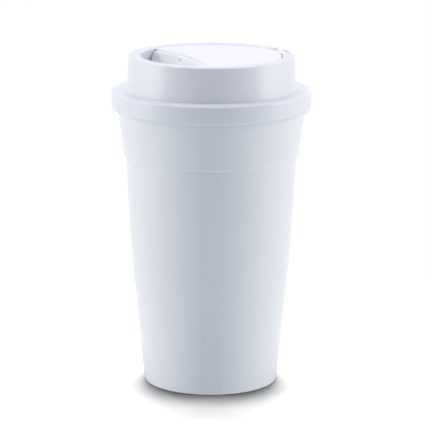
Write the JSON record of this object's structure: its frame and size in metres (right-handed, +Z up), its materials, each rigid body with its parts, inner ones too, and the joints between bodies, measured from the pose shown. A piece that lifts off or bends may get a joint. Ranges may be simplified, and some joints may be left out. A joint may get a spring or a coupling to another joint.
{
  "type": "plastic travel mug",
  "caption": "Double-walled tapered plastic travel mug with a stepped band, a push-on flanged lid, a soft lid seal and a turning closure with a crescent drinking recess and thumb tab.",
  "frame": {"origin": "centre of the base, on the surface that the mug stands on", "axes": "+Z up along the mug's axis, +X to the right and +Y away in the picture's view"},
  "size_m": [0.095, 0.095, 0.1581],
  "materials": {
    "shell": "satin moulded polypropylene",
    "cup": "satin moulded polypropylene",
    "lid": "satin moulded polypropylene",
    "seal": "matte silicone",
    "closure": "satin moulded polypropylene"
  },
  "bodies": {
    "mug": {"outer_shell": "shell", "inner_cup": "cup"},
    "lid": {"lid": "lid", "lid_seal": "seal"},
    "closure": {"closure": "closure"}
  },
  "joints": [
    {"name": "lid_lift", "type": "slide", "parent": "mug", "child": "lid", "axis": [0, 0, 1], "range_m": [0, 0.05]},
    {"name": "closure_turn", "type": "hinge", "parent": "lid", "child": "closure", "pos_m": [0, 0, 0.1503], "axis": [0, 0, 1], "range_deg": [0, 9]}
  ]
}
